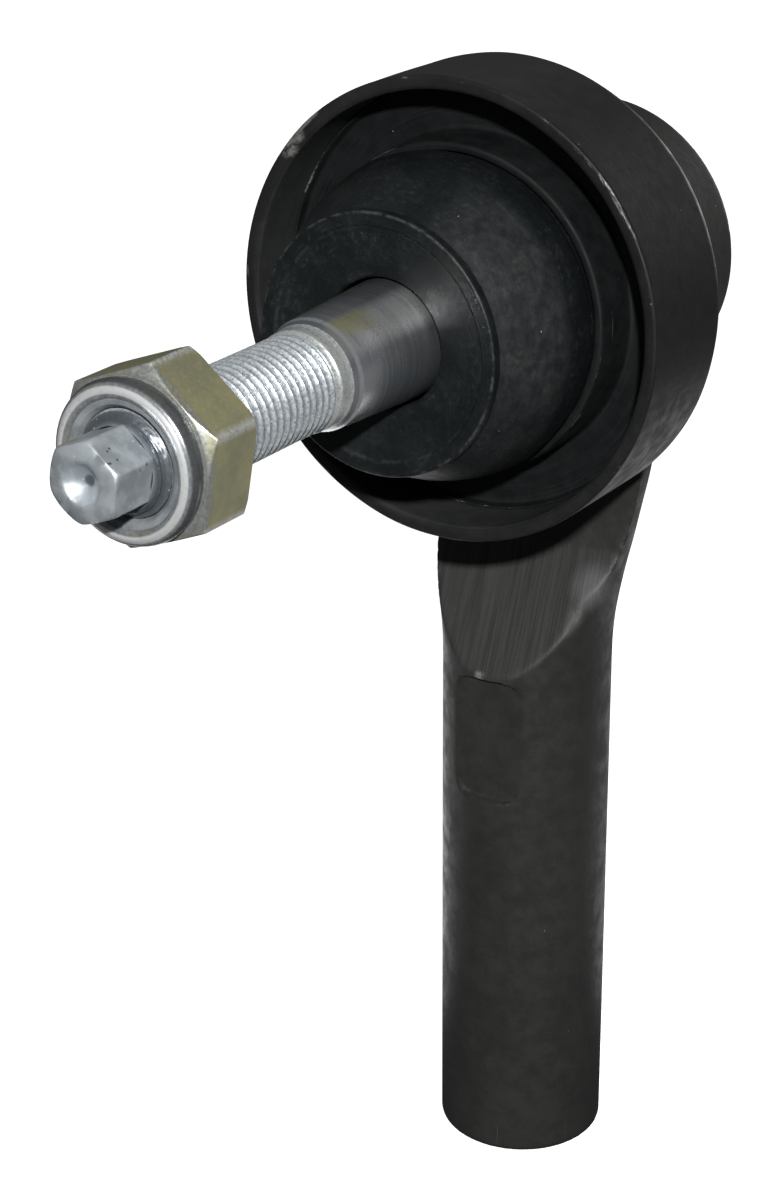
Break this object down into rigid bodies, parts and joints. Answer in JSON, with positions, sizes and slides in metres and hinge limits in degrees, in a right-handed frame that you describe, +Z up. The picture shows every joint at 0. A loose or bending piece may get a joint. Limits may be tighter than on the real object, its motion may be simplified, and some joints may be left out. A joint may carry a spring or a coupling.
{
  "type": "outer tie rod end",
  "caption": "Outer tie rod end: threaded forged stem, sealed ball joint with rubber boot inside a cup-shaped dust shield, tapered stud with locking nut.",
  "frame": {"origin": "centre of the stem's threaded mouth", "axes": "+Z up the stem to the ball centre, stud along -Y, +X to the right seen from the stud's tip"},
  "size_m": [0.0692, 0.1419, 0.1851],
  "materials": {
    "forging": "satin",
    "shield_paint": "satin",
    "retainer_paint": "satin",
    "boot_rubber": "matte",
    "ring_steel": "satin",
    "stud_steel": "polished",
    "bearing_polymer": "matte",
    "spring_steel": "satin",
    "cover_paint": "satin",
    "seal_rubber": "matte",
    "fitting_zinc": "satin",
    "nut_zinc": "satin",
    "insert_polymer": "matte"
  },
  "bodies": {
    "housing": {"housing": "forging", "dust_shield": "shield_paint", "boot_retainer": "retainer_paint", "boot_base_ring": "ring_steel", "front_bearing": "bearing_polymer", "rear_bearing": "bearing_polymer", "pressure_plate": "ring_steel", "preload_spring": "spring_steel", "cover_plate": "cover_paint", "cover_seal": "seal_rubber", "cover_snap_ring": "spring_steel", "grease_fitting": "fitting_zinc", "fitting_spring": "spring_steel"},
    "boot": {"dust_boot": "boot_rubber"},
    "boot_ring": {"boot_top_ring": "ring_steel"},
    "stud": {"ball_stud": "stud_steel"},
    "nut_insert": {"nut_locking_insert": "insert_polymer"},
    "nut": {"lock_nut": "nut_zinc"},
    "check_ball": {"fitting_check_ball": "ring_steel"}
  },
  "joints": [
    {"name": "swing_up_down", "type": "hinge", "parent": "housing", "child": "boot", "pos_m": [0, 0, 0.1505], "axis": [1, 0, 0], "range_deg": [-18, 18], "deforming": ["dust_boot"]},
    {"name": "swing_side", "type": "hinge", "parent": "boot", "child": "boot_ring", "pos_m": [0, 0, 0.1505], "axis": [0, 0, 1], "range_deg": [-18, 18]},
    {"name": "stud_turn", "type": "hinge", "parent": "boot_ring", "child": "stud", "pos_m": [0, 0, 0.1505], "axis": [0, -1, 0], "continuous": true},
    {"name": "nut_travel", "type": "slide", "parent": "stud", "child": "nut_insert", "axis": [0, -1, 0], "range_m": [-0.02401, 0.00801]},
    {"name": "nut_turn", "type": "hinge", "parent": "nut_insert", "child": "nut", "pos_m": [0, -0.0956, 0.1505], "axis": [0, -1, 0], "range_deg": [-5760, 1920]},
    {"name": "check_ball_lift", "type": "slide", "parent": "housing", "child": "check_ball", "axis": [0, -1, 0], "range_m": [0, 0.0012], "stiffness_N_per_m": 400, "deforming": ["fitting_spring"]}
  ],
  "couplings": [
    {"joint": "nut_travel", "follows": "nut_turn", "m_per_rad": 0.00023873}
  ]
}
